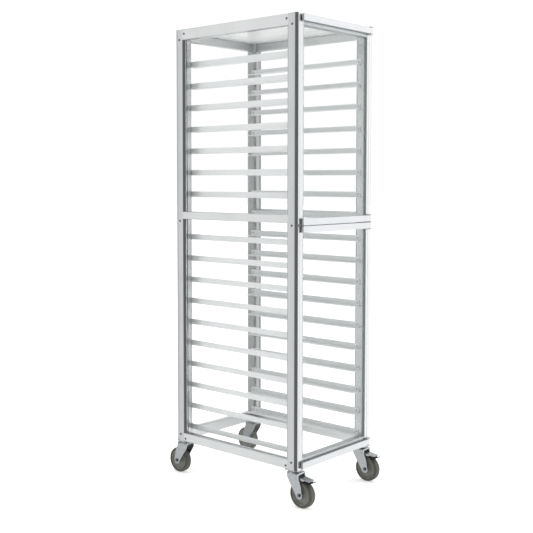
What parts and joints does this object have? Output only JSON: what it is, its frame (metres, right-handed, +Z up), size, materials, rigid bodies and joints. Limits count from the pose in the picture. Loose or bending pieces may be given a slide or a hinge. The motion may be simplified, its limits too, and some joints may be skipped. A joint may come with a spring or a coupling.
{
  "type": "sheet pan rack",
  "caption": "Tall mobile bakery rack of aluminium with pan slides on both side walls, clear covers, an upper and a lower clear door, and swivel castors.",
  "frame": {"origin": "on the floor under the middle of the rack", "axes": "+Z up; the doors face -Y; +X is on the right of a person standing in front of the doors and facing them"},
  "size_m": [0.47, 0.742, 1.79],
  "materials": {
    "aluminium": "satin anodised",
    "door_aluminium": "satin anodised, lighter",
    "clear_sheet": "clear acrylic sheet",
    "roof_sheet": "pale translucent acrylic sheet",
    "zinc": "bright zinc plate",
    "wheel_core": "moulded grey plastic",
    "tyre_rubber": "grey rubber tread",
    "black_tip": "moulded black plastic"
  },
  "bodies": {
    "frame": {"left_ladder": "aluminium", "right_ladder": "aluminium", "left_top_rail": "aluminium", "left_bottom_rail": "aluminium", "left_mid_rail": "aluminium", "right_top_rail": "aluminium", "right_bottom_rail": "aluminium", "right_mid_rail": "aluminium", "front_top_rail": "aluminium", "rear_top_rail": "aluminium", "front_bottom_rail": "aluminium", "rear_bottom_rail": "aluminium", "left_upper_sheet": "clear_sheet", "left_lower_sheet": "clear_sheet", "right_upper_sheet": "clear_sheet", "right_lower_sheet": "clear_sheet", "rear_sheet": "clear_sheet", "roof_sheet": "roof_sheet", "top_hinge_bracket": "zinc", "top_hinge_pin": "zinc", "mid_hinge_bracket": "zinc", "mid_hinge_pin": "zinc", "bottom_hinge_bracket": "zinc", "bottom_hinge_pin": "zinc", "seam_catch": "black_tip", "front_left_castor_plate": "zinc", "front_right_castor_plate": "zinc", "rear_left_castor_plate": "zinc", "rear_right_castor_plate": "zinc"},
    "upper_door": {"upper_door_bottom_rail": "door_aluminium", "upper_door_top_rail": "door_aluminium", "upper_door_pane": "clear_sheet"},
    "lower_door": {"lower_door_bottom_rail": "door_aluminium", "lower_door_top_rail": "door_aluminium", "lower_door_pane": "clear_sheet"},
    "front_left_fork": {"front_left_castor_fork": "zinc", "front_left_castor_axle": "zinc"},
    "front_left_wheel": {"front_left_castor_hub": "wheel_core", "front_left_castor_tyre": "tyre_rubber"},
    "front_left_brake": {"front_left_brake_pedal": "zinc", "front_left_brake_tip": "black_tip"},
    "front_right_fork": {"front_right_castor_fork": "zinc", "front_right_castor_axle": "zinc"},
    "front_right_wheel": {"front_right_castor_hub": "wheel_core", "front_right_castor_tyre": "tyre_rubber"},
    "front_right_brake": {"front_right_brake_pedal": "zinc", "front_right_brake_tip": "black_tip"},
    "rear_left_fork": {"rear_left_castor_fork": "zinc", "rear_left_castor_axle": "zinc"},
    "rear_left_wheel": {"rear_left_castor_hub": "wheel_core", "rear_left_castor_tyre": "tyre_rubber"},
    "rear_right_fork": {"rear_right_castor_fork": "zinc", "rear_right_castor_axle": "zinc"},
    "rear_right_wheel": {"rear_right_castor_hub": "wheel_core", "rear_right_castor_tyre": "tyre_rubber"}
  },
  "joints": [
    {"name": "upper_door_swing", "type": "hinge", "parent": "frame", "child": "upper_door", "pos_m": [0.212, -0.3201, 1.4], "axis": [0, 0, 1], "range_deg": [0, 170]},
    {"name": "lower_door_swing", "type": "hinge", "parent": "frame", "child": "lower_door", "pos_m": [0.212, -0.3201, 0.6], "axis": [0, 0, 1], "range_deg": [0, 170]},
    {"name": "front_left_swivel", "type": "hinge", "parent": "frame", "child": "front_left_fork", "pos_m": [-0.207, -0.285, 0.124], "axis": [0, 0, 1], "continuous": true},
    {"name": "front_left_wheel_spin", "type": "hinge", "parent": "front_left_fork", "child": "front_left_wheel", "pos_m": [-0.207, -0.321, 0.05], "axis": [1, 0, 0], "continuous": true},
    {"name": "front_left_brake_press", "type": "hinge", "parent": "front_left_fork", "child": "front_left_brake", "pos_m": [-0.207, -0.305, 0.1105], "axis": [1, 0, 0], "range_deg": [0, 6.5]},
    {"name": "front_right_swivel", "type": "hinge", "parent": "frame", "child": "front_right_fork", "pos_m": [0.207, -0.285, 0.124], "axis": [0, 0, 1], "continuous": true},
    {"name": "front_right_wheel_spin", "type": "hinge", "parent": "front_right_fork", "child": "front_right_wheel", "pos_m": [0.207, -0.321, 0.05], "axis": [1, 0, 0], "continuous": true},
    {"name": "front_right_brake_press", "type": "hinge", "parent": "front_right_fork", "child": "front_right_brake", "pos_m": [0.207, -0.305, 0.1105], "axis": [1, 0, 0], "range_deg": [0, 6.5]},
    {"name": "rear_left_swivel", "type": "hinge", "parent": "frame", "child": "rear_left_fork", "pos_m": [-0.207, 0.285, 0.124], "axis": [0, 0, 1], "continuous": true},
    {"name": "rear_left_wheel_spin", "type": "hinge", "parent": "rear_left_fork", "child": "rear_left_wheel", "pos_m": [-0.207, 0.321, 0.05], "axis": [1, 0, 0], "continuous": true},
    {"name": "rear_right_swivel", "type": "hinge", "parent": "frame", "child": "rear_right_fork", "pos_m": [0.207, 0.285, 0.124], "axis": [0, 0, 1], "continuous": true},
    {"name": "rear_right_wheel_spin", "type": "hinge", "parent": "rear_right_fork", "child": "rear_right_wheel", "pos_m": [0.207, 0.321, 0.05], "axis": [1, 0, 0], "continuous": true}
  ]
}
